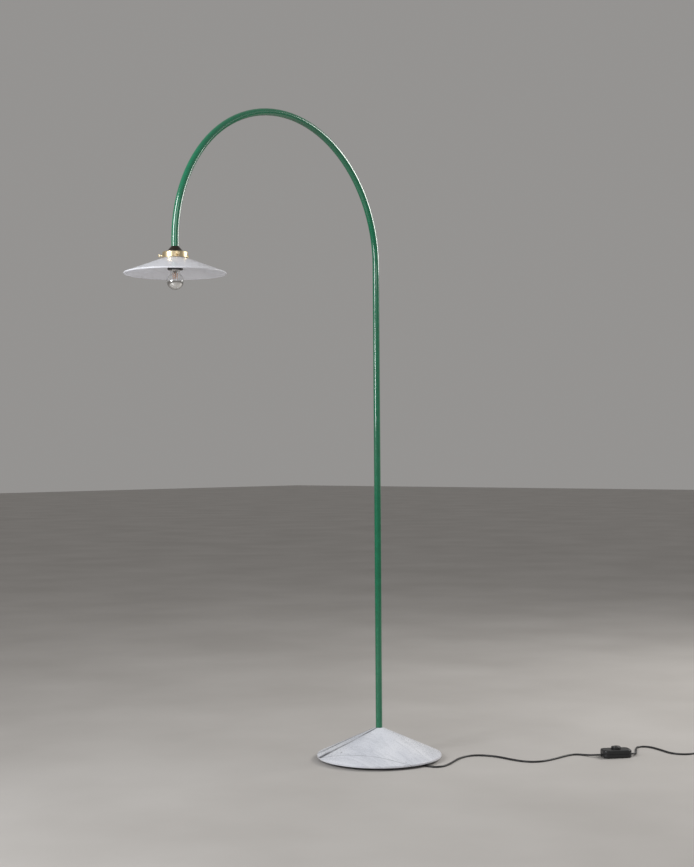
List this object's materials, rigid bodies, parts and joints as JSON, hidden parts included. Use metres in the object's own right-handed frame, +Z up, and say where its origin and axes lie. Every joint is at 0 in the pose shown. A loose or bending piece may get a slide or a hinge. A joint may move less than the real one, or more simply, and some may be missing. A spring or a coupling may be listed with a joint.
{
  "type": "arc floor lamp",
  "caption": "Floor lamp with a green tube that arches from a marble cone base to an opal glass cone shade on a brass gallery, with a mirrored bulb and an in-line foot switch.",
  "frame": {"origin": "on the floor, at the centre of the base's underside and on the pole's axis", "axes": "+Z up along the pole, the arch reaches towards -X, the lead leaves the base towards -Y"},
  "size_m": [1.7175, 0.995, 1.8798],
  "materials": {
    "marble": "honed white marble with soft grey veins",
    "green_lacquer": "glossy",
    "brass": "satin",
    "dark_bronze": "satin dark brown",
    "opal_glass": "glossy opal",
    "clear_glass": "clear",
    "silver_mirror": "polished",
    "steel": "plain",
    "plated": "nickel plated",
    "phenolic": "dark moulding",
    "ceramic": "plain",
    "acetal": "plain",
    "felt": "pressed felt",
    "black_pvc": "smooth lead sheath",
    "switch_plastic": "fine-grained black",
    "filament": "phosphor-coated"
  },
  "bodies": {
    "base": {"marble_base": "marble", "base_plate": "steel", "plate_screws": "steel", "marble_inserts": "brass", "floor_pad": "felt", "pole_spigot": "steel", "spigot_washer": "steel", "spigot_nut": "steel", "thrust_washer": "acetal", "lead_clamp": "switch_plastic", "clamp_screws": "steel", "base_lead": "black_pvc", "base_relief": "black_pvc", "cord_to_switch": "black_pvc", "switch_lower": "switch_plastic", "switch_upper": "switch_plastic", "button_spring": "steel", "switch_contacts": "brass", "switch_terminals": "acetal", "switch_screws": "steel", "switch_feet": "felt", "cord_to_coil": "black_pvc", "cord_coil": "black_pvc", "cord_tail": "black_pvc", "coil_tie": "black_pvc", "plug_body": "switch_plastic", "plug_relief": "black_pvc", "plug_pins": "plated"},
    "arm": {"stem_tube": "green_lacquer", "lower_bush": "brass", "upper_bush": "brass", "swivel_screw": "steel", "stem_lead": "black_pvc", "stem_insert": "brass", "entry_nipple": "steel", "holder_cap": "dark_bronze", "lock_nut": "steel", "gallery_ring": "brass", "glass_shade": "opal_glass", "holder_body": "phenolic", "holder_skirt": "phenolic", "holder_insert": "ceramic", "screw_shell": "brass", "centre_contact": "brass", "terminal_screws": "brass", "bulb_cap": "plated", "bulb_insulator": "phenolic", "bulb_contact": "plated", "bulb_glass": "clear_glass", "crown_mirror": "silver_mirror", "bulb_stem": "clear_glass", "filaments": "filament"},
    "button": {"switch_button": "switch_plastic"},
    "screw_1": {"gallery_screw_1": "brass"},
    "screw_2": {"gallery_screw_2": "brass"},
    "screw_3": {"gallery_screw_3": "brass"}
  },
  "joints": [
    {"name": "arm_swivel", "type": "hinge", "parent": "base", "child": "arm", "pos_m": [0, 0, 0.107], "axis": [0, 0, 1], "range_deg": [-150, 150]},
    {"name": "foot_button", "type": "slide", "parent": "base", "child": "button", "axis": [0, 0, -1], "range_m": [0, 0.003], "stiffness_N_per_m": 900, "springref_m": -0.002, "deforming": ["button_spring"]},
    {"name": "gallery_screw_1_out", "type": "slide", "parent": "arm", "child": "screw_1", "axis": [1, 0, 0], "range_m": [0, 0.003]},
    {"name": "gallery_screw_2_out", "type": "slide", "parent": "arm", "child": "screw_2", "axis": [-0.5, 0.866, 0], "range_m": [0, 0.003]},
    {"name": "gallery_screw_3_out", "type": "slide", "parent": "arm", "child": "screw_3", "axis": [-0.5, -0.866, 0], "range_m": [0, 0.003]}
  ]
}
